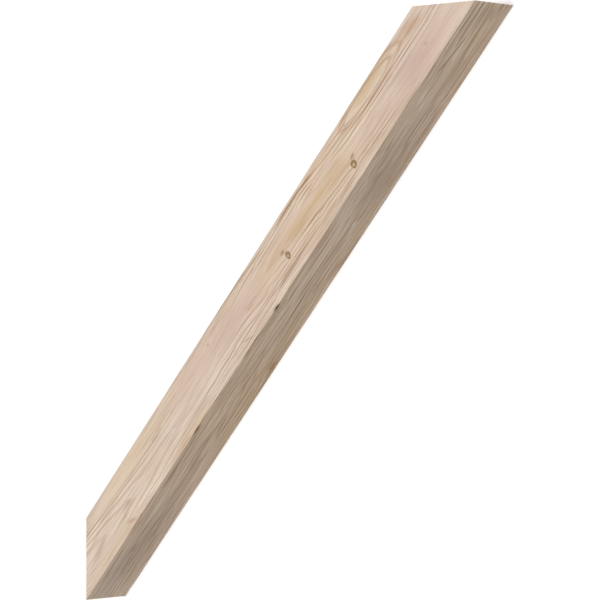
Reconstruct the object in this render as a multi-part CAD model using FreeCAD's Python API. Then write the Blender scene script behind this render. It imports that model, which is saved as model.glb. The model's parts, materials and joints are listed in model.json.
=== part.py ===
"""Timber knee brace: one straight length of surfaced fir that props a beam off a post or wall.

Both ends are sawn on the skew, square to each other. The foot cut bears on the upright wall and the
head cut bears under the level beam, so the brace stands between them like the slope of a right triangle.

The brace lies on its side. X runs along the timber from the foot to the head, Y from its long outer
face to its short inner face, and Z up, square to the two skew-cut sides. The origin is on the floor,
under the middle of the box that holds the part. Lengths are in millimetres.
"""

import FreeCAD, Part
import math
import os

INCH = 25.4

# Driving dimensions.
RISE = 36.0 * INCH  # foot to head along the wall, at the outer face
RUN = 32.0 * INCH  # wall to tip along the beam, at the outer face
SECTION_DEPTH = 3.5 * INCH  # outer face to inner face
SECTION_WIDTH = 3.5 * INCH  # side to side
ARRIS_RADIUS = 1.0  # the four long edges, eased by hand sanding

# Worked out from them.
OUTER_LENGTH = math.hypot(RISE, RUN)
FOOT_CUT_ANGLE = math.atan2(RUN, RISE)  # between the foot cut and the timber's length
HEAD_CUT_ANGLE = math.atan2(RISE, RUN)  # between the head cut and the timber's length
FOOT_SKEW = SECTION_DEPTH / math.tan(FOOT_CUT_ANGLE)
HEAD_SKEW = SECTION_DEPTH / math.tan(HEAD_CUT_ANGLE)


def side_profile():
    """The skew-ended outline of the timber's side, as a closed wire on the floor."""
    foot_x = -OUTER_LENGTH / 2
    head_x = OUTER_LENGTH / 2
    outer_y = -SECTION_DEPTH / 2
    inner_y = SECTION_DEPTH / 2
    corners = [
        FreeCAD.Vector(foot_x, outer_y, 0),
        FreeCAD.Vector(head_x, outer_y, 0),
        FreeCAD.Vector(head_x - HEAD_SKEW, inner_y, 0),
        FreeCAD.Vector(foot_x + FOOT_SKEW, inner_y, 0),
    ]
    return Part.makePolygon(corners + corners[:1])


def long_arrises(timber):
    """The edges that run the timber's whole length."""
    along = FreeCAD.Vector(1, 0, 0)
    return [
        edge
        for edge in timber.Edges
        if abs(edge.tangentAt(edge.FirstParameter).dot(along)) > math.cos(math.radians(1))
    ]


def timber_brace():
    """The sawn and surfaced timber, one solid."""
    timber = Part.Face(side_profile()).extrude(FreeCAD.Vector(0, 0, SECTION_WIDTH))
    return timber.makeFillet(ARRIS_RADIUS, long_arrises(timber))


def main():
    os.makedirs("parts", exist_ok=True)
    timber_brace().exportStep("parts/timber_brace.step")


main()
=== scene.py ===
"""Finish of the timber knee brace: its surfaced fir, its sawn ends and the studio it lies in.

The timber is modelled as the mill leaves it. A blank is cut on the skew at both ends, its arrises are
eased, and its faces carry the fine ridges that a planer leaves where hard latewood meets soft
earlywood. One solid field of growth rings drives the relief and the colour, so a ring that shows on
one face carries on round the arris and across the sawn ends.
"""

import json
import math

import bmesh
import bpy
from bpy.props import FloatProperty, FloatVectorProperty, IntProperty, PointerProperty
from mathutils import Matrix, Vector


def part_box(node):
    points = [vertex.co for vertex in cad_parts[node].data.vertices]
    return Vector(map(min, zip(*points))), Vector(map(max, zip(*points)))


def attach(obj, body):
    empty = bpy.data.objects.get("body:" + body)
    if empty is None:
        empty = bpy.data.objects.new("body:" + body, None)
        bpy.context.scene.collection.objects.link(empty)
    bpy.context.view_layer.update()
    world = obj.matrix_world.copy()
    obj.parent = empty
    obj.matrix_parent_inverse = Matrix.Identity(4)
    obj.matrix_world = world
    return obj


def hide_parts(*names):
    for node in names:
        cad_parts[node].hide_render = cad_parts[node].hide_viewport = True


bl_info = {
    "name": "Timber brace",
    "version": (1, 0, 0),
    "blender": (4, 5, 0),
    "location": "3D View > Sidebar > Brace",
    "description": "Finishes a skew-cut fir knee brace and sets it in a plain studio",
    "category": "Object",
}

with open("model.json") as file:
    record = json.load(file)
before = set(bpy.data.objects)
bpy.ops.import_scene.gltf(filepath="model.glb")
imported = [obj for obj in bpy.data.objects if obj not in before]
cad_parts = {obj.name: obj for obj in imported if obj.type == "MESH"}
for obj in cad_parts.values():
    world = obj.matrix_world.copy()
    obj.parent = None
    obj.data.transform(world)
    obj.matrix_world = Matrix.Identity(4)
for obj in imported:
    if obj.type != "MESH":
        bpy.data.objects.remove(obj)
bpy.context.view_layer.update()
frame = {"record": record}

NODE = "timber_brace"
LOW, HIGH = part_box(NODE)
MOUNTS = {mount["name"]: mount for mount in frame["record"]["mounts"]}
FOOT_AXIS = Vector(MOUNTS["foot_cut"]["axis"])
HEAD_AXIS = Vector(MOUNTS["head_cut"]["axis"])

MM = 0.001
WIDTH = (HIGH.z - LOW.z) / MM
WHITE = (1.0, 1.0, 1.0, 1.0)


def hex_colour(text):
    """Turns an sRGB hex colour into the linear values that Blender works in."""
    shares = [int(text[i:i + 2], 16) / 255 for i in (1, 3, 5)]
    linear = [s / 12.92 if s <= 0.04045 else ((s + 0.055) / 1.055) ** 2.4 for s in shares]
    return (*linear, 1.0)


def colour_property(name, description, text):
    """A colour that a user would change, with its default given as sRGB hex."""
    return FloatVectorProperty(
        name=name,
        description=description,
        default=hex_colour(text),
        subtype="COLOR",
        size=4,
        min=0.0,
        max=1.0,
    )


# --------------------------------------------------------------------------------------------------
# Settings


class TimberSettings(bpy.types.PropertyGroup):
    """Sizes of the timber's finish."""

    arris: FloatProperty(
        name="Arris radius",
        description="How far the four long edges are eased",
        default=1.0 * MM,
        unit="LENGTH",
    )
    arris_steps: IntProperty(name="Arris steps", description="Flats round each eased edge", default=3)
    strips_across: IntProperty(
        name="Strips across",
        description="Cuts in the mesh across each face, close enough to show one ring",
        default=72,
    )
    strips_along: IntProperty(
        name="Strips along",
        description="Cuts in the mesh from foot to head",
        default=200,
    )
    ridge: FloatProperty(
        name="Latewood ridge",
        description="How far earlywood lies below latewood on the planed faces",
        default=0.10 * MM,
        unit="LENGTH",
    )
    saw_mark: FloatProperty(
        name="Saw mark",
        description="Depth of the arcs that the saw leaves across the end grain",
        default=0.20 * MM,
        unit="LENGTH",
    )
    saw_pitch: FloatProperty(
        name="Saw pitch",
        description="Distance from one saw arc to the next",
        default=5.5 * MM,
        unit="LENGTH",
    )


class GrainSettings(bpy.types.PropertyGroup):
    """Spacing and colours of the wood."""

    earlywood: colour_property("Earlywood", "Pale wood grown in spring", "#E7D6C6")
    latewood: colour_property("Latewood", "Dense wood grown in summer", "#A27A57")
    fibre: colour_property("Fibre", "Fine darker fibres along the length", "#BB9C82")
    # Cream also paints the highlight along the outer face's lower edge.
    cream: colour_property("Cream", "Palest wood, nearer the bark", "#EEDFCF")
    heart: colour_property("Heart", "Pinkish wood, nearer the heart", "#D9BEB0")
    dusk: colour_property("Dusk", "Greyer wood", "#D0BEB0")
    resin: colour_property("Resin", "Yellow-tan wood where resin gathers", "#D9BF9C")
    rust: colour_property("Rust", "Orange-brown wood along old resin", "#CDA27B")
    rose: colour_property("Rose", "Pink-red streaks", "#CCA796")
    knot: colour_property("Knot", "Branch wood", "#AB865D")
    knot_rim: colour_property("Knot rim", "Dark bark and pitch round a knot", "#81613F")
    knot_heart: colour_property("Knot heart", "Pale middle of a knot", "#D9BC98")
    # This colour darkens two short lengths of the arris between the outer face and the top.
    pitch: colour_property("Pitch", "Dark pitch in a bruised arris", "#5A3C1E")
    end_wood: colour_property("End grain", "Sawn end grain, which drinks in light", "#E4CAB2")
    check: colour_property("Check", "Shadow in a drying check", "#7A5C40")


class StageSettings(bpy.types.PropertyGroup):
    """The studio and the camera."""

    floor: colour_property("Floor", "Pale matt floor", "#F4F4F4")
    key: FloatProperty(name="Key light", description="Strength of the soft overhead light", default=2.5)
    key_spread: FloatProperty(
        name="Key spread",
        description="How wide the overhead light looks from the floor",
        default=math.radians(16),
        subtype="ANGLE",
    )
    sky: FloatProperty(name="Sky light", description="Strength of the light from all round", default=0.2)
    lens: FloatProperty(name="Lens", description="Focal length of the camera, in millimetres", default=171.1)
    distance: FloatProperty(
        name="Camera distance",
        description="From the camera to the middle of the brace",
        default=4.394,
        unit="LENGTH",
    )
    yaw: FloatProperty(
        name="Camera yaw",
        description="Turn away from square-on to the brace's side, towards its outer face",
        default=math.radians(42.573),
        subtype="ANGLE",
    )
    pitch: FloatProperty(
        name="Camera pitch",
        description="Upward tilt, with the brace held as it is when it is up",
        default=math.radians(0.293),
        subtype="ANGLE",
    )
    aim_right: FloatProperty(
        name="Aim right",
        description="Aim point, to the right of the brace's middle",
        default=18.1 * MM,
        unit="LENGTH",
    )
    aim_up: FloatProperty(
        name="Aim up",
        description="Aim point, above the brace's middle",
        default=29.0 * MM,
        unit="LENGTH",
    )


# --------------------------------------------------------------------------------------------------
# Nodes


def add(tree, kind, inputs=None, **settings):
    """Adds a node with its settings. Each input takes a value, a socket, or a node's first live output."""
    made = tree.nodes.new(kind)
    for name, value in settings.items():
        setattr(made, name, value)
    for key, value in (inputs or {}).items():
        if isinstance(value, bpy.types.Node):
            value = next(output for output in value.outputs if output.enabled)
        if isinstance(value, bpy.types.NodeSocket):
            tree.links.new(value, made.inputs[key])
        else:
            made.inputs[key].default_value = value
    return made


def follow(tree, value, points):
    """Turns a value into another along the smooth line through these points, given in their own units."""
    across = max(place for place, height in points)
    tall = max(height for place, height in points)
    share = add(tree, "ShaderNodeMath", {0: value, 1: across}, operation="DIVIDE")
    curve = add(tree, "ShaderNodeFloatCurve", {"Value": share})
    line = curve.mapping.curves[0]
    while len(line.points) < len(points):
        line.points.new(0.5, 0.5)
    for (place, height), point in zip(points, line.points):
        point.location = (place / across, height / tall)
    curve.mapping.update()
    return add(tree, "ShaderNodeMath", {0: curve, 1: tall}, operation="MULTIPLY")


# --------------------------------------------------------------------------------------------------
# The wood as a solid field. Places are in millimetres: x from the foot tip, y from the outer face and
# z from the underside. A spot is a middle, a reach along x, y and z, and sometimes a turn in degrees
# about x, y and z.

# The pith wanders inside the square: places along the length, each with its distance from the outer face.
PITH_FROM_OUTER = [(0, 41), (100, 37.5), (200, 34), (300, 33), (400, 37), (500, 43), (600, 48),
                   (711, 50), (800, 48), (870, 43.5), (940, 38), (1060, 34.5), (1223, 34)]
# The same for its depth below the top face.
PITH_FROM_TOP = [(0, 27), (100, 30.5), (200, 34.3), (300, 37), (420, 38), (540, 36.2), (640, 32.5),
                 (740, 30), (900, 29.5), (1000, 29), (1223, 27)]
# How many years old the stem was at each radius. Growth slows with age.
AGE_AT_RADIUS = [(0, 0), (30.5, 7.88), (38.1, 9.88), (41.9, 10.88), (48.3, 12.88), (60, 17), (100, 32)]
# Rings are never quite round: the size of each wave in them along x, y and z, and how far it moves a ring
# in all.
RING_WAVES = [((320.0, 46.0, 46.0), 5.0), ((90.0, 12.0, 12.0), 1.8), ((24.0, 4.0, 4.0), 0.5)]
# The share of a year's growth at which latewood starts, is at its darkest, and gives way to spring.
LATEWOOD_STARTS = 0.55
LATEWOOD_FULL = 0.88
LATEWOOD_ENDS = 0.92
# The weakest ring's share of the strongest, and a ring's share where the saw runs along it.
WEAKEST_RING = 0.35
MID_FACE_SHARE = 0.35

# Each knot is a small dead branch: its radius, where its middle meets the top face, where its pale core
# does, off the middle, and how pale that is.
KNOTS = [
    (5.4, (711.0, 34.0, WIDTH), (709.8, 33.0, WIDTH), 0.7),
    (5.8, (900.0, 23.0, WIDTH), (898.3, 22.6, WIDTH), 1.0),
]
KNOT_CORE_REACH = (4.2, 3.4, 30.0)
# A knot is a little short along the grain and runs deep, and its edge is ragged by this many millimetres.
KNOT_STRETCH = (1.1, 1.0, 0.1)
KNOT_RAGGED = 4.0

# Where rings bulge: by how much, and the spot.
SWELLS = [
    (1.4, (711.0, 34.0, WIDTH), (20.0, 11.0, 60.0)),
    (1.4, (900.0, 23.0, WIDTH), (20.0, 11.0, 60.0)),
    (2.2, (800.0, 70.0, WIDTH), (40.0, 22.0, 30.0)),
    (1.2, (805.0, 22.0, WIDTH), (22.0, 12.0, 30.0)),
    (4.0, (1012.0, 82.0, WIDTH), (140.0, 18.0, 40.0)),
    (1.6, (565.0, 8.0, WIDTH), (46.0, 14.0, 30.0)),
]

# Where rings show more strongly or hardly at all: the share of the usual strength, and the spot.
RING_STRENGTHS = [
    (1.6, (150.0, 42.0, WIDTH), (150.0, 26.0, 30.0), (0, 0, -8)),
    (0.6, (60.0, 14.0, WIDTH), (80.0, 20.0, 30.0)),
    (0.15, (215.0, 76.0, WIDTH), (170.0, 24.0, 40.0)),
    (0.12, (450.0, 64.0, WIDTH), (150.0, 34.0, 40.0)),
    (0.10, (600.0, 60.0, WIDTH), (140.0, 26.0, 40.0)),
    (0.75, (620.0, 20.0, WIDTH), (140.0, 24.0, 30.0)),
    (1.1, (740.0, 80.0, WIDTH), (320.0, 13.0, 30.0)),
    (1.25, (800.0, 27.0, WIDTH), (160.0, 10.0, 30.0)),
    (0.0, (815.0, 48.0, WIDTH), (170.0, 16.0, 40.0), (0, 0, -6)),
    (1.1, (1000.0, 64.0, WIDTH), (150.0, 9.0, 30.0)),
    (1.5, (920.0, 14.0, WIDTH), (150.0, 16.0, 12.0)),
    (1.4, (660.0, 14.0, WIDTH), (110.0, 16.0, 12.0)),
    (0.15, (1100.0, 28.0, WIDTH), (140.0, 34.0, 40.0)),
    (0.15, (1160.0, 8.0, WIDTH), (150.0, 26.0, 12.0)),
    (0.1, (1000.0, 76.0, WIDTH), (100.0, 15.0, 12.0)),
    (1.1, (340.0, 0.0, 44.0), (150.0, 4.0, 50.0)),
    (1.1, (700.0, 0.0, 47.0), (150.0, 4.0, 50.0)),
    (1.2, (1180.0, 0.0, 55.0), (120.0, 4.0, 40.0)),
    (0.5, (70.0, 0.0, 45.0), (90.0, 4.0, 60.0)),
    (0.4, (950.0, 0.0, 45.0), (120.0, 4.0, 60.0)),
]

# How strongly rings and fibres show in the end grain, where nothing hides them.
END_RING_STRENGTH = 0.85
END_FIBRE_STRENGTH = 0.35

# The saw's arcs across the ends have their middle well off the section.
SAW_MIDDLE = (0.0, -90.0, -140.0)

# Layers of fibres: the size of a fibre along x, y and z, how deeply it tints, and where. Real fibres are
# far finer, and these are drawn as coarse as they need to be to show.
FIBRES = [
    ((260.0, 3.8, 3.8), 0.22, "outer face"),
    ((220.0, 2.4, 2.4), 0.55, "outer face"),
    ((150.0, 2.5, 2.5), 0.46, "everywhere"),
    ((130.0, 1.6, 1.6), 0.52, "everywhere"),
    ((60.0, 0.9, 0.9), 0.3, "everywhere"),
]
# How far fibres sway to each side, and how much of a fibre's tint becomes a groove.
SWAY = 5.0
FIBRE_GROOVE = -0.5

# Single strong rings that can be followed by eye: colour setting, amount, from, to and half width.
STREAKS = [
    ("rust", 0.5, (62.0, 68.0, WIDTH), (130.0, 53.0, WIDTH), 1.6),
    ("latewood", 0.3, (120.0, 55.0, WIDTH), (215.0, 37.0, WIDTH), 1.7),
    ("latewood", 0.22, (86.0, 70.0, WIDTH), (175.0, 50.0, WIDTH), 1.5),
    ("rust", 0.45, (110.0, 63.0, WIDTH), (270.0, 41.0, WIDTH), 1.6),
    ("latewood", 0.25, (200.0, 50.0, WIDTH), (295.0, 32.0, WIDTH), 1.5),
    ("rose", 0.32, (36.0, 27.0, WIDTH), (104.0, 35.0, WIDTH), 1.7),
    ("rose", 0.3, (150.0, 22.0, WIDTH), (212.0, 36.0, WIDTH), 1.7),
    ("latewood", 0.4, (305.0, 27.0, WIDTH), (440.0, 21.0, WIDTH), 1.5),
    ("rust", 0.4, (370.0, 8.0, WIDTH), (440.0, 12.0, WIDTH), 2.0),
    ("latewood", 0.35, (552.0, 28.0, WIDTH), (640.0, 14.0, WIDTH), 1.5),
    ("latewood", 0.45, (630.0, 14.0, WIDTH), (720.0, 12.5, WIDTH), 1.6),
    ("latewood", 0.35, (570.0, 35.0, WIDTH), (700.0, 19.0, WIDTH), 1.5),
    ("rust", 0.5, (580.0, 41.0, WIDTH), (700.0, 27.0, WIDTH), 1.3),
    ("rust", 0.5, (550.0, 46.0, WIDTH), (660.0, 34.0, WIDTH), 1.4),
    ("latewood", 0.7, (718.0, 33.0, WIDTH), (812.0, 30.5, WIDTH), 1.8),
    ("latewood", 0.6, (795.0, 30.5, WIDTH), (893.0, 25.0, WIDTH), 1.6),
    ("rust", 0.5, (720.0, 16.0, WIDTH), (860.0, 12.0, WIDTH), 1.4),
    ("rust", 0.5, (820.0, 20.0, WIDTH), (960.0, 10.0, WIDTH), 1.4),
    ("latewood", 0.7, (520.0, 88.0, WIDTH), (735.0, 82.5, WIDTH), 2.0),
    ("latewood", 0.95, (720.0, 83.0, WIDTH), (805.0, 84.0, WIDTH), 2.8),
    ("latewood", 1.0, (790.0, 84.5, WIDTH), (862.0, 75.0, WIDTH), 2.3),
    ("latewood", 0.85, (845.0, 75.5, WIDTH), (945.0, 69.0, WIDTH), 2.0),
    ("latewood", 0.6, (680.0, 81.0, WIDTH), (775.0, 78.5, WIDTH), 2.2),
    ("latewood", 0.45, (760.0, 79.0, WIDTH), (825.0, 75.0, WIDTH), 2.0),
    ("rust", 0.9, (700.0, 74.0, WIDTH), (850.0, 69.0, WIDTH), 1.8),
    ("rust", 0.7, (780.0, 63.0, WIDTH), (900.0, 64.0, WIDTH), 1.7),
    ("rust", 1.0, (820.0, 84.0, WIDTH), (930.0, 77.0, WIDTH), 2.0),
    ("latewood", 0.45, (930.0, 70.0, WIDTH), (1000.0, 63.5, WIDTH), 1.6),
    ("latewood", 0.45, (985.0, 64.0, WIDTH), (1075.0, 61.0, WIDTH), 1.7),
    ("rust", 0.5, (900.0, 57.0, WIDTH), (1050.0, 53.0, WIDTH), 1.4),
    ("latewood", 0.65, (135.0, 0.0, 62.0), (207.0, 0.0, 53.0), 2.5),
    ("latewood", 0.45, (150.0, 0.0, 42.0), (290.0, 0.0, 45.0), 2.3),
    ("latewood", 0.65, (215.0, 0.0, 67.0), (400.0, 0.0, 67.0), 2.3),
    ("latewood", 0.85, (255.0, 0.0, 51.0), (400.0, 0.0, 52.0), 2.5),
    ("latewood", 0.85, (270.0, 0.0, 43.5), (430.0, 0.0, 46.0), 2.5),
    ("latewood", 0.52, (290.0, 0.0, 34.0), (400.0, 0.0, 35.0), 2.3),
    ("latewood", 0.45, (430.0, 0.0, 47.0), (560.0, 0.0, 44.0), 2.3),
    ("latewood", 0.59, (600.0, 0.0, 62.0), (645.0, 0.0, 57.0), 2.3),
    ("latewood", 0.65, (625.0, 0.0, 69.0), (790.0, 0.0, 67.0), 2.3),
    ("latewood", 0.85, (640.0, 0.0, 50.5), (790.0, 0.0, 50.5), 2.5),
    ("latewood", 0.78, (590.0, 0.0, 43.0), (790.0, 0.0, 43.0), 2.5),
    ("latewood", 0.52, (820.0, 0.0, 56.0), (880.0, 0.0, 66.0), 2.3),
    ("latewood", 0.59, (815.0, 0.0, 37.0), (865.0, 0.0, 39.0), 2.3),
    ("latewood", 0.59, (980.0, 0.0, 22.0), (1010.0, 0.0, 21.0), 2.7),
    ("latewood", 0.52, (1020.0, 0.0, 41.0), (1150.0, 0.0, 40.0), 2.3),
    ("latewood", 0.91, (1085.0, 0.0, 69.0), (1165.0, 0.0, 56.0), 2.5),
    ("latewood", 0.98, (1140.0, 0.0, 49.5), (1240.0, 0.0, 50.5), 2.5),
    ("latewood", 0.85, (1080.0, 0.0, 38.0), (1240.0, 0.0, 42.0), 2.5),
    ("latewood", 0.85, (1150.0, 0.0, 69.0), (1240.0, 0.0, 67.0), 2.5),
    ("latewood", 0.65, (1160.0, 0.0, 78.0), (1240.0, 0.0, 77.0), 2.3),
]

# How far a streak reaches from its middle, as a share of its length: its tips fade out beyond its ends.
STREAK_REACH = 0.6

# Rings that just break the surface show as closed loops: colour setting, amount and the spot.
LOOPS = [
    ("latewood", 0.45, (996.0, 75.5, WIDTH), (108.0, 15.5, 20.0), (0, 0, -1)),
    ("rust", 0.6, (1005.0, 75.0, WIDTH), (140.0, 24.0, 20.0), (0, 0, -1)),
]

# How close to the spot's middle a loop's line runs, as closeness gives it, and how far the line fades.
LOOP_LEVEL = 0.3
LOOP_FADE = 0.12

# The outer face was sawn across wider rings, so its lines are coarser.
OUTER_FACE = ((611.0, 0.0, 45.0), (4000.0, 3.0, 400.0))

# How much the wood drifts between pinkish and yellowish along its length.
DRIFT_AMOUNT = 0.28

# Broad patches of other wood colour: colour setting, amount and the spot.
PATCHES = [
    ("resin", 0.35, (235.0, 76.0, WIDTH), (170.0, 30.0, 40.0)),
    ("cream", 1.0, (245.0, 12.0, WIDTH), (85.0, 22.0, 30.0)),
    ("cream", 0.8, (150.0, 62.0, WIDTH), (200.0, 26.0, 20.0)),
    ("cream", 1.0, (965.0, 57.0, WIDTH), (110.0, 17.0, 20.0)),
    ("cream", 1.0, (655.0, 5.0, WIDTH), (100.0, 13.0, 4.0)),
    ("cream", 0.5, (530.0, 30.0, WIDTH), (150.0, 20.0, 4.0)),
    ("cream", 0.6, (900.0, 82.0, WIDTH), (190.0, 14.0, 4.0)),
    ("heart", 0.6, (450.0, 62.0, WIDTH), (150.0, 36.0, 40.0)),
    ("heart", 0.65, (575.0, 50.0, WIDTH), (115.0, 44.0, 40.0)),
    ("resin", 0.3, (810.0, 40.0, WIDTH), (240.0, 44.0, 50.0)),
    ("resin", 0.85, (760.0, 48.0, WIDTH), (96.0, 23.0, 30.0), (0, 0, -6)),
    ("resin", 0.75, (860.0, 42.0, WIDTH), (90.0, 19.0, 30.0), (0, 0, -6)),
    ("resin", 0.4, (818.0, 47.0, WIDTH), (24.0, 9.0, 30.0)),
    ("heart", 0.85, (1105.0, 26.0, WIDTH), (160.0, 38.0, 40.0)),
    ("heart", 0.4, (1060.0, 6.0, WIDTH), (100.0, 16.0, 4.0)),
    ("resin", 0.9, (1008.0, 80.0, WIDTH), (95.0, 15.0, 20.0)),
    ("cream", 1.0, (810.0, 76.0, WIDTH), (140.0, 15.0, 4.0)),
    ("rust", 0.55, (1120.0, 71.0, WIDTH), (46.0, 13.0, 5.0), (0, 0, -8)),
    ("rose", 0.7, (172.0, 9.0, WIDTH), (20.0, 5.0, 5.0), (0, 0, -25)),
    ("rose", 0.28, (90.0, 32.0, WIDTH), (60.0, 14.0, 5.0), (0, 0, 10)),
    ("rose", 0.25, (812.0, 66.0, WIDTH), (16.0, 9.0, 8.0)),
    ("resin", 0.25, (611.0, 0.0, 45.0), (2400.0, 2.0, 240.0)),
    ("cream", 1.0, (611.0, 0.0, 45.0), (2400.0, 2.0, 240.0)),
    ("rust", 0.7, (512.0, 0.0, 10.0), (22.0, 2.0, 14.0)),
    ("dusk", 0.9, (130.0, 0.0, 36.0), (150.0, 2.0, 60.0)),
    ("dusk", 1.0, (915.0, 0.0, 40.0), (150.0, 2.0, 60.0)),
    ("resin", 0.35, (1150.0, 0.0, 25.0), (150.0, 2.0, 50.0)),
    ("resin", 0.4, (440.0, 0.0, 38.0), (260.0, 2.0, 90.0)),
    ("resin", 0.25, (650.0, 0.0, 30.0), (120.0, 2.0, 40.0)),
    ("resin", 0.4, (110.0, 8.0, WIDTH), (120.0, 14.0, 3.0)),
    ("resin", 0.5, (365.0, 6.0, WIDTH), (100.0, 13.0, 3.0)),
    ("resin", 0.3, (790.0, 8.0, WIDTH), (110.0, 12.0, 3.0)),
    ("heart", 0.6, (965.0, 28.0, WIDTH), (80.0, 30.0, 10.0)),
    ("cream", 0.8, (75.0, 56.0, WIDTH), (70.0, 16.0, 10.0)),
    ("cream", 0.9, (1190.0, 0.0, 60.0), (110.0, 2.0, 60.0)),
    ("cream", 0.6, (350.0, 0.0, 50.0), (120.0, 2.0, 50.0)),
    ("cream", 0.6, (710.0, 0.0, 45.0), (130.0, 2.0, 50.0)),
    # The pale band along the outer face's lower edge is a painted highlight.
    ("cream", 0.9, (611.0, 0.0, 3.0), (1800.0, 4.0, 15.0)),
    ("resin", 0.6, (668.0, 54.0, WIDTH), (90.0, 28.0, 20.0)),
    ("resin", 0.3, (255.0, 40.0, WIDTH), (75.0, 18.0, 10.0)),
    ("resin", 0.3, (80.0, 80.0, WIDTH), (80.0, 16.0, 10.0)),
    ("resin", 0.35, (825.0, 77.0, WIDTH), (120.0, 14.0, 4.0)),
    ("cream", 0.9, (355.0, 22.0, WIDTH), (65.0, 17.0, 4.0)),
    ("dusk", 0.3, (1080.0, 32.0, WIDTH), (80.0, 28.0, 4.0)),
    ("dusk", 0.2, (550.0, 52.0, WIDTH), (95.0, 50.0, 4.0)),
    ("dusk", 0.9, (55.0, 0.0, 60.0), (110.0, 2.0, 40.0)),
    ("heart", 0.9, (765.0, 0.0, 80.0), (70.0, 2.0, 14.0)),
    ("cream", 1.0, (355.0, 0.0, 8.0), (80.0, 3.0, 14.0)),
    ("cream", 1.0, (662.0, 0.0, 8.0), (80.0, 3.0, 14.0)),
]

# Small dark marks, which are bud traces, pitch flecks and two short dark marks on the arris: colour setting,
# amount and the spot.
FLECKS = [
    ("knot_rim", 0.65, (706.0, 45.5, WIDTH), (9.0, 4.6, 3.0), (0, 0, 8)),
    ("knot_rim", 0.6, (906.0, 33.5, WIDTH), (10.0, 4.6, 3.0), (0, 0, 12)),
    ("knot_rim", 0.45, (495.0, 70.0, WIDTH), (5.0, 3.0, 3.0)),
    ("knot_rim", 0.3, (1120.0, 32.0, WIDTH), (6.0, 4.0, 3.0)),
    ("knot_rim", 0.4, (560.0, 11.5, WIDTH), (20.0, 2.2, 3.0), (0, 0, -21)),
    ("knot_rim", 0.35, (115.0, 0.0, 56.0), (20.0, 4.0, 6.0)),
    ("knot_rim", 0.35, (895.0, 0.0, 56.0), (20.0, 4.0, 6.0)),
    ("pitch", 1.0, (635.0, 0.0, 86.6), (14.0, 3.0, 5.5)),
    ("pitch", 0.8, (380.0, 0.0, 87.2), (18.0, 2.4, 4.5)),
]


def foot_tip_place(tree, place):
    """The place on the timber in millimetres from the foot tip, from a place in metres."""
    moved = add(tree, "ShaderNodeVectorMath", {0: place, 1: LOW}, operation="SUBTRACT")
    return add(tree, "ShaderNodeVectorMath", {0: moved, "Scale": 1 / MM}, operation="SCALE")


def closeness(tree, place, middle, reach, turn=None, even=False):
    """1 in the middle of a spot, easing to 0 at its reach.

    The spot may be turned, because grain is seldom dead straight. An even one keeps its width for most
    of its length.
    """
    offset = add(tree, "ShaderNodeVectorMath", {0: place, 1: middle}, operation="SUBTRACT")
    if turn:
        back = [-math.radians(angle) for angle in turn]
        offset = add(
            tree, "ShaderNodeVectorRotate", {"Vector": offset, "Rotation": back}, rotation_type="EULER_XYZ"
        )
    share = add(tree, "ShaderNodeVectorMath", {0: offset, 1: reach}, operation="DIVIDE")
    if even:
        hold = add(tree, "ShaderNodeVectorMath", {0: share}, operation="ABSOLUTE")
        hold = add(tree, "ShaderNodeVectorMath", {0: hold, 1: (0.0, 1.0, 1.0)}, operation="MAXIMUM")
        share = add(tree, "ShaderNodeVectorMath", {0: share, 1: hold}, operation="MULTIPLY")
    away = add(tree, "ShaderNodeVectorMath", {0: share}, operation="LENGTH").outputs["Value"]
    return add(
        tree,
        "ShaderNodeMapRange",
        {"Value": away, "From Min": 0.0, "From Max": 1.0, "To Min": 1.0, "To Max": 0.0},
        interpolation_type="SMOOTHERSTEP",
    )


def noise_at(tree, place, grain, detail=1.0):
    """Noise from 0 to 1 whose lumps are as long as grain says along x, y and z, in millimetres.

    Most of it lies between 0.3 and 0.7, so what reads it stretches a part of that.
    """
    stretched = add(tree, "ShaderNodeVectorMath", {0: place, 1: grain}, operation="DIVIDE")
    return add(tree, "ShaderNodeTexNoise", {"Vector": stretched, "Scale": 1.0, "Detail": detail}).outputs[0]


def along_streak(start, end, half_width):
    """The long thin spot that covers a streak from end to end, on the top face or on the outer face."""
    start = Vector(start)
    end = Vector(end)
    way = end - start
    turn = (0.0, -math.degrees(math.atan2(way.z, way.x)), math.degrees(math.atan2(way.y, way.x)))
    return (start + end) / 2, (STREAK_REACH * way.length, half_width, half_width), turn


def growth(tree, place):
    """Distance from the wandering pith, how far round from mid-face towards an arris, and the way out."""
    along = add(tree, "ShaderNodeSeparateXYZ", {0: place}).outputs["X"]
    depth = follow(tree, along, PITH_FROM_TOP)
    height = add(tree, "ShaderNodeMath", {0: WIDTH, 1: depth}, operation="SUBTRACT")
    pith = add(tree, "ShaderNodeCombineXYZ", {"Y": follow(tree, along, PITH_FROM_OUTER), "Z": height})
    out = add(tree, "ShaderNodeVectorMath", {0: place, 1: pith}, operation="SUBTRACT")
    out = add(tree, "ShaderNodeVectorMath", {0: out, 1: (0.0, 1.0, 1.0)}, operation="MULTIPLY")
    radius = add(tree, "ShaderNodeVectorMath", {0: out}, operation="LENGTH").outputs["Value"]
    sides = add(tree, "ShaderNodeVectorMath", {0: out}, operation="ABSOLUTE")
    sides = add(tree, "ShaderNodeSeparateXYZ", {0: sides})
    longest = add(tree, "ShaderNodeMath", {0: sides.outputs["Y"], 1: sides.outputs["Z"]}, operation="MAXIMUM")
    straight = add(tree, "ShaderNodeMath", {0: longest, 1: radius}, operation="DIVIDE")
    slant = add(tree, "ShaderNodeMapRange", {"Value": straight, "From Min": 1.0, "From Max": 0.8})
    for wave, reach in RING_WAVES:
        warp = add(tree, "ShaderNodeMath", {0: noise_at(tree, place, wave), 1: 0.5}, operation="SUBTRACT")
        radius = add(tree, "ShaderNodeMath", {0: warp, 1: reach, 2: radius}, operation="MULTIPLY_ADD")
    for bulge, *spot in SWELLS:
        near = closeness(tree, place, *spot)
        radius = add(tree, "ShaderNodeMath", {0: near, 1: -bulge, 2: radius}, operation="MULTIPLY_ADD")
    return radius, slant, out


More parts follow.
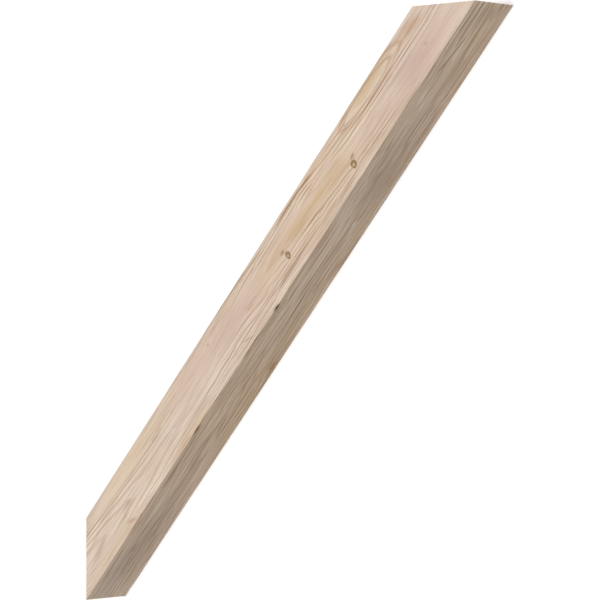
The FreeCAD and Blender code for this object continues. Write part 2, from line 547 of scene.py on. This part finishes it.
def ring_strength(tree, place, slant, at_end):
    """How strongly rings show: least mid-face, where the saw runs along them, most where it cuts across."""
    across = add(tree, "ShaderNodeMapRange", {"Value": slant, "To Min": MID_FACE_SHARE, "To Max": 1.0})
    fade = noise_at(tree, place, (220.0, 14.0, 14.0), 2.0)
    fade = add(
        tree,
        "ShaderNodeMapRange",
        {"Value": fade, "From Min": 0.32, "From Max": 0.66, "To Min": 0.25, "To Max": 1.0},
    )
    strength = add(tree, "ShaderNodeMath", {0: across, 1: fade}, operation="MULTIPLY")
    for share, *spot in RING_STRENGTHS:
        near = closeness(tree, place, *spot)
        factor = add(tree, "ShaderNodeMapRange", {"Value": near, "To Min": 1.0, "To Max": share})
        strength = add(tree, "ShaderNodeMath", {0: strength, 1: factor}, operation="MULTIPLY")
    return add(tree, "ShaderNodeMix", {0: at_end, 2: strength, 3: END_RING_STRENGTH}, data_type="FLOAT")


def latewood(tree, radius, strength):
    """How much of the wood at a place is dense latewood, from 0 to 1. Rings vary in width and in vigour."""
    years = follow(tree, radius, AGE_AT_RADIUS)
    year = add(tree, "ShaderNodeMath", {0: years}, operation="FLOOR")
    season = add(tree, "ShaderNodeMath", {0: years}, operation="FRACT")
    rise = add(
        tree,
        "ShaderNodeMapRange",
        {"Value": season, "From Min": LATEWOOD_STARTS, "From Max": LATEWOOD_FULL},
        interpolation_type="SMOOTHSTEP",
    )
    fall = add(
        tree,
        "ShaderNodeMapRange",
        {"Value": season, "From Min": LATEWOOD_ENDS, "From Max": 1.0, "To Min": 1.0, "To Max": 0.0},
        interpolation_type="SMOOTHSTEP",
    )
    vigour = add(tree, "ShaderNodeTexWhiteNoise", {"W": year}, noise_dimensions="1D").outputs["Value"]
    vigour = add(tree, "ShaderNodeMapRange", {"Value": vigour, "To Min": WEAKEST_RING, "To Max": 1.0})
    dense = add(tree, "ShaderNodeMath", {0: rise, 1: fall}, operation="MULTIPLY")
    for factor in (vigour, strength):
        dense = add(tree, "ShaderNodeMath", {0: dense, 1: factor}, operation="MULTIPLY")
    return add(tree, "ShaderNodeMath", {0: dense, 1: 1.0}, operation="MINIMUM")


def saw_arcs(tree, place, at_end, pitch):
    """The ridges that the saw's teeth leave across an end, from 0 to 1, and 0 on the long faces."""
    across = add(tree, "ShaderNodeVectorMath", {0: place, 1: SAW_MIDDLE}, operation="SUBTRACT")
    across = add(tree, "ShaderNodeVectorMath", {0: across, 1: (0.0, 1.0, 1.0)}, operation="MULTIPLY")
    away = add(tree, "ShaderNodeVectorMath", {0: across}, operation="LENGTH").outputs["Value"]
    drift = noise_at(tree, place, (30.0, 14.0, 14.0))
    away = add(tree, "ShaderNodeMath", {0: drift, 1: pitch, 2: away}, operation="MULTIPLY_ADD")
    turns = add(tree, "ShaderNodeMath", {0: away, 1: math.tau / pitch}, operation="MULTIPLY")
    wave = add(tree, "ShaderNodeMath", {0: turns}, operation="SINE")
    wave = add(tree, "ShaderNodeMapRange", {"Value": wave, "From Min": -1.0})
    patchy = noise_at(tree, place, (60.0, 22.0, 22.0))
    patchy = add(tree, "ShaderNodeMapRange", {"Value": patchy, "From Min": 0.35, "From Max": 0.6})
    arcs = add(tree, "ShaderNodeMath", {0: wave, 1: patchy}, operation="MULTIPLY")
    return add(tree, "ShaderNodeMath", {0: arcs, 1: at_end}, operation="MULTIPLY")


def gently_wavy(tree, place):
    """The place as the fibres see it: they run along the length but never dead straight."""
    sway = noise_at(tree, place, (130.0, 30.0, 30.0))
    sway = add(tree, "ShaderNodeMapRange", {"Value": sway, "To Min": -SWAY, "To Max": SWAY})
    sway = add(tree, "ShaderNodeCombineXYZ", {"Y": sway, "Z": sway})
    return add(tree, "ShaderNodeVectorMath", {0: place, 1: sway}, operation="ADD")


# --------------------------------------------------------------------------------------------------
# Materials

# Bare softwood: rough in the deepest grooves between planed fibres, smoothest on dense latewood, and
# roughest where it is sawn across.
ROUGHEST_PLANED = 0.74
LATEWOOD_ROUGHNESS = 0.54
SAWN_ROUGHNESS = 0.88
WOOD_IOR = 1.5
# The bump's strength, the real height of a latewood ridge in it, and a saw arc's height in such ridges.
BUMP_STRENGTH = 0.35
RIDGE_HEIGHT = 0.12 * MM
ARC_HEIGHT = 2.0


def ratio(colour, base):
    """The colour that turns the base into another when the two are multiplied."""
    return [part / whole for part, whole in zip(colour, base)]


def drying_checks(tree, place, radius, out):
    """Fine cracks that run out from the pith as an end dries, from 0 to 1, where shadow is painted; the mesh
    has no cracks.
    """
    way = add(tree, "ShaderNodeSeparateXYZ", {0: out})
    angle = add(tree, "ShaderNodeMath", {0: way.outputs["Z"], 1: way.outputs["Y"]}, operation="ARCTAN2")
    along = add(tree, "ShaderNodeSeparateXYZ", {0: place}).outputs["X"]
    round_pith = add(tree, "ShaderNodeCombineXYZ", {"X": along, "Y": angle, "Z": radius})
    crack = noise_at(tree, round_pith, (700.0, 0.06, 90.0))
    crack = add(tree, "ShaderNodeMapRange", {"Value": crack, "From Min": 0.76, "From Max": 0.80})
    near = add(tree, "ShaderNodeMapRange", {"Value": radius, "From Min": 34.0, "From Max": 14.0})
    return add(tree, "ShaderNodeMath", {0: crack, 1: near}, operation="MULTIPLY")


def ringed_wood(tree, grain, place, dense):
    """Earlywood and latewood, with a slow drift between pinkish and yellowish wood and the broad patches."""
    colour = add(
        tree, "ShaderNodeMix", {0: dense, 6: grain.earlywood, 7: grain.latewood}, data_type="RGBA"
    )
    drift = noise_at(tree, place, (260.0, 30.0, 30.0), 2.0)
    drift = add(tree, "ShaderNodeMapRange", {"Value": drift, "From Min": 0.36, "From Max": 0.64})
    pinkish = ratio(grain.heart, grain.earlywood)
    yellowish = ratio(grain.resin, grain.earlywood)
    tint = add(tree, "ShaderNodeMix", {0: drift, 6: pinkish, 7: yellowish}, data_type="RGBA")
    colour = add(
        tree, "ShaderNodeMix", {0: DRIFT_AMOUNT, 6: colour, 7: tint}, data_type="RGBA", blend_type="MULTIPLY"
    )
    for setting, most, *spot in PATCHES:
        near = closeness(tree, place, *spot)
        amount = add(tree, "ShaderNodeMath", {0: near, 1: most}, operation="MULTIPLY")
        tint = ratio(getattr(grain, setting), grain.earlywood)
        colour = add(
            tree, "ShaderNodeMix", {0: amount, 6: colour, 7: tint}, data_type="RGBA", blend_type="MULTIPLY"
        )
    return colour


def fibred(tree, grain, place, wavy, strength, at_end, colour, relief):
    """Lays the fibres over a colour, and sinks the relief where they are."""
    shown = add(tree, "ShaderNodeMapRange", {"Value": strength, "To Min": 0.25, "To Max": 1.0})
    shares = {
        "outer face": closeness(tree, place, *OUTER_FACE),
        "everywhere": add(
            tree, "ShaderNodeMix", {0: at_end, 2: shown, 3: END_FIBRE_STRENGTH}, data_type="FLOAT"
        ),
    }
    tint = ratio(grain.fibre, grain.earlywood)
    for size, depth, where in FIBRES:
        line = add(
            tree,
            "ShaderNodeMapRange",
            {
                "Value": noise_at(tree, wavy, size),
                "From Min": 0.52,
                "From Max": 0.60,
                "To Min": 0.0,
                "To Max": depth,
            },
        )
        amount = add(tree, "ShaderNodeMath", {0: line, 1: shares[where]}, operation="MULTIPLY")
        colour = add(
            tree, "ShaderNodeMix", {0: amount, 6: colour, 7: tint}, data_type="RGBA", blend_type="MULTIPLY"
        )
        relief = add(
            tree, "ShaderNodeMath", {0: amount, 1: FIBRE_GROOVE, 2: relief}, operation="MULTIPLY_ADD"
        )
    return colour, relief


def single_rings(tree, grain, wavy, colour):
    """Lays the streaks and the closed loops over a colour."""
    lines = []
    for setting, most, start, end, half_width in STREAKS:
        near = closeness(tree, wavy, *along_streak(start, end, half_width), even=True)
        lines.append((setting, add(tree, "ShaderNodeMath", {0: near, 1: most}, operation="MULTIPLY")))
    for setting, most, *spot in LOOPS:
        near = closeness(tree, wavy, *spot)
        off = add(tree, "ShaderNodeMath", {0: near, 1: LOOP_LEVEL}, operation="SUBTRACT")
        off = add(tree, "ShaderNodeMath", {0: off}, operation="ABSOLUTE")
        line = {"Value": off, "From Max": LOOP_FADE, "To Min": most, "To Max": 0.0}
        lines.append((setting, add(tree, "ShaderNodeMapRange", line)))
    for setting, amount in lines:
        tint = ratio(getattr(grain, setting), grain.earlywood)
        colour = add(
            tree, "ShaderNodeMix", {0: amount, 6: colour, 7: tint}, data_type="RGBA", blend_type="MULTIPLY"
        )
    return colour


def knotted(tree, grain, place, colour):
    """Paints each knot over a colour: a dark rim of bark and pitch round branch wood with a pale core."""
    for radius, middle, core_middle, pale in KNOTS:
        offset = add(tree, "ShaderNodeVectorMath", {0: place, 1: middle}, operation="SUBTRACT")
        offset = add(tree, "ShaderNodeVectorMath", {0: offset, 1: KNOT_STRETCH}, operation="MULTIPLY")
        away = add(tree, "ShaderNodeVectorMath", {0: offset}, operation="LENGTH").outputs["Value"]
        ragged = noise_at(tree, place, (4.0, 4.0, 4.0), 2.0)
        ragged = add(tree, "ShaderNodeMath", {0: ragged, 1: 0.5}, operation="SUBTRACT")
        away = add(tree, "ShaderNodeMath", {0: ragged, 1: KNOT_RAGGED, 2: away}, operation="MULTIPLY_ADD")
        share = add(tree, "ShaderNodeMath", {0: away, 1: radius}, operation="DIVIDE")
        broken = noise_at(tree, place, (3.0, 2.4, 3.0))
        broken = add(
            tree, "ShaderNodeMapRange", {"Value": broken, "From Min": 0.35, "From Max": 0.6, "To Min": 0.6}
        )
        rim = add(
            tree,
            "ShaderNodeMapRange",
            {"Value": share, "From Min": 0.45, "From Max": 0.75},
            interpolation_type="SMOOTHSTEP",
        )
        rim = add(tree, "ShaderNodeMath", {0: rim, 1: broken}, operation="MULTIPLY")
        core = closeness(tree, place, core_middle, KNOT_CORE_REACH)
        core = add(tree, "ShaderNodeMath", {0: core, 1: pale}, operation="MULTIPLY")
        inside = add(
            tree,
            "ShaderNodeMapRange",
            {"Value": share, "From Min": 0.85, "From Max": 1.3, "To Min": 1.0, "To Max": 0.0},
            interpolation_type="SMOOTHSTEP",
        )
        wood = add(tree, "ShaderNodeMix", {0: rim, 6: grain.knot, 7: grain.knot_rim}, data_type="RGBA")
        wood = add(tree, "ShaderNodeMix", {0: core, 6: wood, 7: grain.knot_heart}, data_type="RGBA")
        colour = add(tree, "ShaderNodeMix", {0: inside, 6: colour, 7: wood}, data_type="RGBA")
    return colour


def sawn_across(tree, grain, colour, checks, arcs):
    """Colour of sawn ends: duller, with painted shadow in drying checks and painted shade on the saw arcs."""
    tint = ratio(grain.end_wood, grain.earlywood)
    sawn = add(
        tree, "ShaderNodeMix", {0: 1.0, 6: colour, 7: tint}, data_type="RGBA", blend_type="MULTIPLY"
    )
    # The check colour is painted shadow in the drying checks.
    sawn = add(tree, "ShaderNodeMix", {0: checks, 6: sawn, 7: grain.check}, data_type="RGBA")
    # Painted shade and highlight that follow the saw arcs, on top of their relief.
    shade = add(tree, "ShaderNodeMapRange", {"Value": arcs, "To Min": 0.88, "To Max": 1.04})
    return add(
        tree, "ShaderNodeMix", {0: 1.0, 6: sawn, 7: shade}, data_type="RGBA", blend_type="MULTIPLY"
    )


def surfaced_fir(grain, saw_pitch):
    """Douglas fir, planed and left bare: matt, with a soft sheen on the dense latewood.

    The rings show as fine tan lines on pinkish cream, with a few strong ones, and broad patches lean
    towards pink, tan or cream.
    """
    material = bpy.data.materials.new("Douglas fir, surfaced")
    material.use_nodes = True
    tree = material.node_tree
    tree.nodes.clear()
    place = foot_tip_place(tree, add(tree, "ShaderNodeTexCoord").outputs["Object"])
    at_end = add(tree, "ShaderNodeAttribute", attribute_name="end_grain").outputs["Fac"]
    radius, slant, out = growth(tree, place)
    strength = ring_strength(tree, place, slant, at_end)
    dense = latewood(tree, radius, strength)
    wavy = gently_wavy(tree, place)

    colour = ringed_wood(tree, grain, place, dense)
    colour, relief = fibred(tree, grain, place, wavy, strength, at_end, colour, dense)
    colour = single_rings(tree, grain, wavy, colour)
    for setting, most, *spot in FLECKS:
        near = closeness(tree, place, *spot)
        amount = add(tree, "ShaderNodeMath", {0: near, 1: most}, operation="MULTIPLY")
        colour = add(
            tree, "ShaderNodeMix", {0: amount, 6: colour, 7: getattr(grain, setting)}, data_type="RGBA"
        )
    colour = knotted(tree, grain, place, colour)
    arcs = saw_arcs(tree, place, at_end, saw_pitch)
    sawn = sawn_across(tree, grain, colour, drying_checks(tree, place, radius, out), arcs)
    colour = add(tree, "ShaderNodeMix", {0: at_end, 6: colour, 7: sawn}, data_type="RGBA")

    planed = add(
        tree,
        "ShaderNodeMapRange",
        {"Value": relief, "From Min": -1.0, "To Min": ROUGHEST_PLANED, "To Max": LATEWOOD_ROUGHNESS},
    )
    rough = add(tree, "ShaderNodeMix", {0: at_end, 2: planed, 3: SAWN_ROUGHNESS}, data_type="FLOAT")
    height = add(tree, "ShaderNodeMath", {0: arcs, 1: ARC_HEIGHT, 2: relief}, operation="MULTIPLY_ADD")
    bump = add(
        tree, "ShaderNodeBump", {"Height": height, "Strength": BUMP_STRENGTH, "Distance": RIDGE_HEIGHT}
    )
    surface = add(
        tree,
        "ShaderNodeBsdfPrincipled",
        {"Base Color": colour, "Roughness": rough, "Normal": bump, "IOR": WOOD_IOR},
    )
    add(tree, "ShaderNodeOutputMaterial", {"Surface": surface})
    return material


# --------------------------------------------------------------------------------------------------
# The timber

# How much longer than the timber the length is that it is cut from.
SPARE_LENGTH = 1.2
# How nearly an edge must follow X, or a face an end's own direction, to count, as a cosine.
ALONG = 0.98
SQUARE_TO_END = 0.99
# An arris turns by a right angle, and the flat mesh beside it by none.
SHARP = math.radians(60)

# The map's layout, in shares of the whole: the height of a long side's strip and of an end's, and the
# bare margin round each.
SIDE_STRIP = 0.205
END_STRIP = 0.18
MARGIN = 0.008


def skew_cut_blank():
    """The timber's plain solid: a square length, cut through at the foot and at the head."""
    blank = bmesh.new()
    bmesh.ops.create_cube(blank, size=1.0)
    size = HIGH - LOW
    size.x *= SPARE_LENGTH
    bmesh.ops.scale(blank, vec=size, verts=blank.verts)
    bmesh.ops.translate(blank, vec=(LOW + HIGH) / 2, verts=blank.verts)
    for name in ("foot_cut", "head_cut"):
        cut = MOUNTS[name]
        whole = blank.verts[:] + blank.edges[:] + blank.faces[:]
        bmesh.ops.bisect_plane(
            blank, geom=whole, plane_co=cut["pos_m"], plane_no=cut["axis"], clear_outer=True
        )
        rim = [edge for edge in blank.edges if edge.is_boundary]
        bmesh.ops.contextual_create(blank, geom=rim)
    return blank


def runs_along(edge):
    """Whether an edge follows the timber's length."""
    way = edge.verts[1].co - edge.verts[0].co
    return abs(way.x) > ALONG * way.length


def is_end_cut(face):
    """Whether a face is part of one of the two sawn ends."""
    return max(face.normal.dot(FOOT_AXIS), face.normal.dot(HEAD_AXIS)) > SQUARE_TO_END


def lay_out_map(made):
    """Lays each long side out as its own full-width strip, and the sawn ends side by side above them."""
    layer = made.loops.layers.uv.new("OFBake")
    sides = (Vector((0, -1, 0)), Vector((0, 0, 1)), Vector((0, 1, 0)), Vector((0, 0, -1)))
    for face in made.faces:
        end = is_end_cut(face)
        facing = [face.normal.dot(side) for side in sides]
        row = facing.index(max(facing))
        for loop in face.loops:
            place = loop.vert.co - LOW
            along = place.x / (HIGH.x - LOW.x)
            across = place.y / (HIGH.y - LOW.y)
            up = place.z / (HIGH.z - LOW.z)
            if end:
                column = 0.0 if face.normal.x < 0 else 0.5
                u = column + MARGIN + across * (0.5 - 2 * MARGIN)
                v = len(sides) * SIDE_STRIP + MARGIN + up * (END_STRIP - 2 * MARGIN)
            else:
                height = up if row % 2 == 0 else across
                u = MARGIN + along * (1 - 2 * MARGIN)
                v = row * SIDE_STRIP + MARGIN + height * (SIDE_STRIP - 2 * MARGIN)
            loop[layer].uv = (u, v)


def raise_relief(piece, timber):
    """Sinks earlywood below latewood on the planed faces, with a short node tree that is then applied."""
    tree = bpy.data.node_groups.new("Planed relief", "GeometryNodeTree")
    tree.interface.new_socket("Geometry", in_out="INPUT", socket_type="NodeSocketGeometry")
    tree.interface.new_socket("Geometry", in_out="OUTPUT", socket_type="NodeSocketGeometry")
    incoming = add(tree, "NodeGroupInput")
    place = foot_tip_place(tree, add(tree, "GeometryNodeInputPosition"))
    at_end = add(tree, "GeometryNodeInputNamedAttribute", {"Name": "end_grain"}, data_type="FLOAT")
    radius, slant, _ = growth(tree, place)
    dense = latewood(tree, radius, ring_strength(tree, place, slant, at_end))
    sunk = add(tree, "ShaderNodeMapRange", {"Value": dense, "To Min": -timber.ridge, "To Max": 0.0})
    arcs = saw_arcs(tree, place, at_end, timber.saw_pitch / MM)
    sunk = add(tree, "ShaderNodeMath", {0: arcs, 1: -timber.saw_mark, 2: sunk}, operation="MULTIPLY_ADD")
    outward = add(tree, "GeometryNodeInputNormal")
    offset = add(tree, "ShaderNodeVectorMath", {0: outward, "Scale": sunk}, operation="SCALE")
    moved = add(tree, "GeometryNodeSetPosition", {"Geometry": incoming, "Offset": offset})
    add(tree, "NodeGroupOutput", {0: moved})
    relief = piece.modifiers.new("Planed relief", "NODES")
    relief.node_group = tree
    bpy.context.view_layer.objects.active = piece
    piece.select_set(True)
    bpy.ops.object.modifier_apply(modifier=relief.name)
    bpy.data.node_groups.remove(tree)


def build_timber(timber, grain):
    """The finished timber, which stands for the plain solid."""
    made = skew_cut_blank()
    lines = [edge for edge in made.edges if runs_along(edge)]
    bmesh.ops.subdivide_edges(made, edges=lines, cuts=timber.strips_along)
    rungs = [edge for edge in made.edges if not runs_along(edge)]
    bmesh.ops.subdivide_edges(made, edges=rungs, cuts=timber.strips_across, use_grid_fill=True)
    made.normal_update()
    arrises = [edge for edge in made.edges if runs_along(edge) and edge.calc_face_angle(0.0) > SHARP]
    bmesh.ops.bevel(
        made,
        geom=arrises,
        offset=timber.arris,
        segments=timber.arris_steps,
        profile=0.5,
        affect="EDGES",
        material=-1,
    )
    made.normal_update()
    end_grain = made.faces.layers.float.new("end_grain")
    for face in made.faces:
        face[end_grain] = 1.0 if is_end_cut(face) else 0.0
        face.smooth = True
    for edge in made.edges:
        edge.smooth = len({is_end_cut(face) for face in edge.link_faces}) == 1
    lay_out_map(made)
    mesh = bpy.data.meshes.new("fir_timber")
    made.to_mesh(mesh)
    made.free()
    piece = bpy.data.objects.new("fir_timber", mesh)
    bpy.context.scene.collection.objects.link(piece)
    raise_relief(piece, timber)
    piece.data.materials.append(surfaced_fir(grain, timber.saw_pitch / MM))
    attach(piece, "root")
    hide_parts(NODE)


class BRACE_OT_timber(bpy.types.Operator):
    """Build the fir timber with its sawn ends, eased arrises and planed relief"""

    bl_idname = "brace.timber"
    bl_label = "Timber"

    def execute(self, context):
        build_timber(context.scene.brace_timber, context.scene.brace_grain)
        return {"FINISHED"}


# --------------------------------------------------------------------------------------------------
# The stage

# From the floor's middle to each of its edges, in metres.
FLOOR_REACH = 30.0
# What the floor adds to its own brightness, for the camera alone.
FLOOR_LIFT = 0.12
# The overhead light's slight slant, which sets the timber's shadow to one side.
LIGHT_SLANT = (math.radians(3), math.radians(2), 0.0)


def build_floor(stage):
    """A wide matt floor that shows white to the camera wherever the timber's shadow doesn't reach."""
    made = bmesh.new()
    bmesh.ops.create_grid(made, x_segments=1, y_segments=1, size=FLOOR_REACH)
    mesh = bpy.data.meshes.new("studio_floor")
    made.to_mesh(mesh)
    made.free()
    floor = bpy.data.objects.new("studio_floor", mesh)
    bpy.context.scene.collection.objects.link(floor)
    material = bpy.data.materials.new("Painted floor, matt")
    material.use_nodes = True
    tree = material.node_tree
    tree.nodes.clear()
    matt = add(tree, "ShaderNodeBsdfDiffuse", {"Color": stage.floor, "Roughness": 1.0})
    camera_only = add(tree, "ShaderNodeLightPath").outputs["Is Camera Ray"]
    strength = add(tree, "ShaderNodeMath", {0: camera_only, 1: FLOOR_LIFT}, operation="MULTIPLY")
    lift = add(tree, "ShaderNodeEmission", {"Color": WHITE, "Strength": strength})
    both = add(tree, "ShaderNodeAddShader", {0: matt, 1: lift})
    add(tree, "ShaderNodeOutputMaterial", {"Surface": both})
    mesh.materials.append(material)


def build_lights(stage):
    """One broad overhead light, and an even sky that shows white to the camera."""
    lamp = bpy.data.lights.new("overhead_light", "SUN")
    lamp.energy = stage.key
    lamp.angle = stage.key_spread
    overhead = bpy.data.objects.new("overhead_light", lamp)
    overhead.rotation_euler = LIGHT_SLANT
    bpy.context.scene.collection.objects.link(overhead)

    world = bpy.data.worlds.new("studio_sky")
    bpy.context.scene.world = world
    world.use_nodes = True
    tree = world.node_tree
    tree.nodes.clear()
    camera_only = add(tree, "ShaderNodeLightPath").outputs["Is Camera Ray"]
    strength = add(tree, "ShaderNodeMapRange", {"Value": camera_only, "To Min": stage.sky, "To Max": 1.0})
    sky = add(tree, "ShaderNodeBackground", {"Color": WHITE, "Strength": strength})
    add(tree, "ShaderNodeOutputWorld", {"Surface": sky})


def build_camera(stage):
    """The camera, placed by how the brace stands when it is up: out from the wall, in from the side."""
    out = -FOOT_AXIS
    into = Vector((0, 0, -1))
    upright = HEAD_AXIS
    right = out * math.cos(stage.yaw) + into * math.sin(stage.yaw)
    level = into * math.cos(stage.yaw) - out * math.sin(stage.yaw)
    ahead = level * math.cos(stage.pitch) + upright * math.sin(stage.pitch)
    above = right.cross(ahead)
    middle = Vector(((LOW.x + HIGH.x) / 2, LOW.y, (LOW.z + HIGH.z) / 2))
    data = bpy.data.cameras.new("camera")
    data.lens = stage.lens
    camera = bpy.data.objects.new("camera", data)
    bpy.context.scene.collection.objects.link(camera)
    turn = Matrix((right, above, -ahead)).transposed()
    place = middle + right * stage.aim_right + above * stage.aim_up - ahead * stage.distance
    camera.matrix_world = Matrix.LocRotScale(place, turn, None)
    bpy.context.scene.camera = camera


class BRACE_OT_stage(bpy.types.Operator):
    """Lay the floor, hang the lights and place the camera"""

    bl_idname = "brace.stage"
    bl_label = "Stage"

    def execute(self, context):
        stage = context.scene.brace_stage
        build_floor(stage)
        build_lights(stage)
        build_camera(stage)
        context.scene.view_settings.view_transform = "Standard"
        return {"FINISHED"}


# --------------------------------------------------------------------------------------------------
# The add-on


class BRACE_PT_panel(bpy.types.Panel):
    """Settings and steps of the timber brace"""

    bl_idname = "BRACE_PT_panel"
    bl_label = "Timber brace"
    bl_space_type = "VIEW_3D"
    bl_region_type = "UI"
    bl_category = "Brace"

    def draw(self, context):
        steps = (
            ("brace.timber", ("brace_timber", "brace_grain")),
            ("brace.stage", ("brace_stage",)),
        )
        for step, groups in steps:
            box = self.layout.box()
            for group in groups:
                settings = getattr(context.scene, group)
                for name in settings.__annotations__:
                    box.prop(settings, name)
            box.operator(step)


SETTINGS = {"brace_timber": TimberSettings, "brace_grain": GrainSettings, "brace_stage": StageSettings}
CLASSES = (*SETTINGS.values(), BRACE_OT_timber, BRACE_OT_stage, BRACE_PT_panel)


def register():
    for cls in CLASSES:
        bpy.utils.register_class(cls)
    for name, group in SETTINGS.items():
        setattr(bpy.types.Scene, name, PointerProperty(type=group))


def unregister():
    for name in SETTINGS:
        delattr(bpy.types.Scene, name)
    for cls in reversed(CLASSES):
        bpy.utils.unregister_class(cls)


def main():
    register()
    bpy.ops.brace.timber()
    bpy.ops.brace.stage()


if __name__ == "__main__":
    main()
